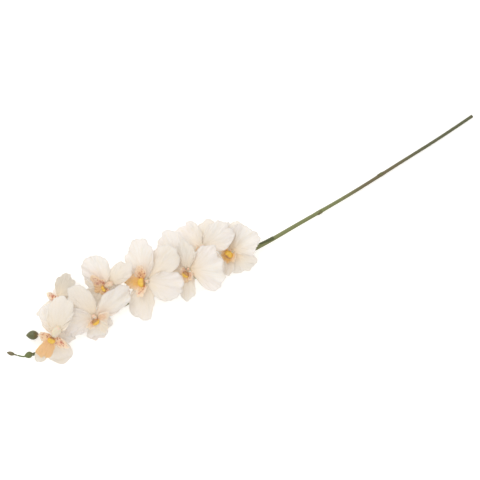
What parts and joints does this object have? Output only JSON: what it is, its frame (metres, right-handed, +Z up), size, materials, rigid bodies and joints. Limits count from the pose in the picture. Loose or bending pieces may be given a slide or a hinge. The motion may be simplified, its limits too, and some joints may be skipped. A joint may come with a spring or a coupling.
{
  "type": "orchid flower spike",
  "caption": "Cut moth orchid spike lying down: a long bare stem, overlapping white flowers with peach lips, and small green buds at its tip.",
  "frame": {"origin": "middle of the bounding box in X and Y, at the surface that the spike lies on", "axes": "+X along the stem towards the cut end, the tip bud at -X; +Z up out of the surface; most flowers face +Z, leaning towards -X"},
  "size_m": [0.7628, 0.1258, 0.0684],
  "materials": {
    "petal_ivory": "matte, finely creased petal tissue",
    "lip_peach": "satin, speckled red-brown",
    "stem_green": "satin",
    "bud_green": "satin"
  },
  "bodies": {
    "root": {"bud_large": "bud_green", "bud_middle": "bud_green", "bud_tip": "bud_green", "flower_1_dorsal_sepal": "petal_ivory", "flower_1_left_petal": "petal_ivory", "flower_1_left_sepal": "petal_ivory", "flower_1_lip": "lip_peach", "flower_1_right_petal": "petal_ivory", "flower_1_right_sepal": "petal_ivory", "flower_1_stalk": "stem_green", "flower_2_dorsal_sepal": "petal_ivory", "flower_2_left_petal": "petal_ivory", "flower_2_left_sepal": "petal_ivory", "flower_2_lip": "lip_peach", "flower_2_right_petal": "petal_ivory", "flower_2_right_sepal": "petal_ivory", "flower_2_stalk": "stem_green", "flower_3_dorsal_sepal": "petal_ivory", "flower_3_left_petal": "petal_ivory", "flower_3_left_sepal": "petal_ivory", "flower_3_lip": "lip_peach", "flower_3_right_petal": "petal_ivory", "flower_3_right_sepal": "petal_ivory", "flower_3_stalk": "stem_green", "flower_4_dorsal_sepal": "petal_ivory", "flower_4_left_petal": "petal_ivory", "flower_4_left_sepal": "petal_ivory", "flower_4_lip": "lip_peach", "flower_4_right_petal": "petal_ivory", "flower_4_right_sepal": "petal_ivory", "flower_4_stalk": "stem_green", "flower_5_dorsal_sepal": "petal_ivory", "flower_5_left_petal": "petal_ivory", "flower_5_left_sepal": "petal_ivory", "flower_5_lip": "lip_peach", "flower_5_right_petal": "petal_ivory", "flower_5_right_sepal": "petal_ivory", "flower_5_stalk": "stem_green", "flower_6_dorsal_sepal": "petal_ivory", "flower_6_left_petal": "petal_ivory", "flower_6_left_sepal": "petal_ivory", "flower_6_lip": "lip_peach", "flower_6_right_petal": "petal_ivory", "flower_6_right_sepal": "petal_ivory", "flower_6_stalk": "stem_green", "flower_7_dorsal_sepal": "petal_ivory", "flower_7_left_petal": "petal_ivory", "flower_7_left_sepal": "petal_ivory", "flower_7_lip": "lip_peach", "flower_7_right_petal": "petal_ivory", "flower_7_right_sepal": "petal_ivory", "flower_7_stalk": "stem_green", "flower_8_dorsal_sepal": "petal_ivory", "flower_8_left_petal": "petal_ivory", "flower_8_left_sepal": "petal_ivory", "flower_8_lip": "lip_peach", "flower_8_right_petal": "petal_ivory", "flower_8_right_sepal": "petal_ivory", "flower_8_stalk": "stem_green", "main_stem": "stem_green"}
  },
  "joints": []
}
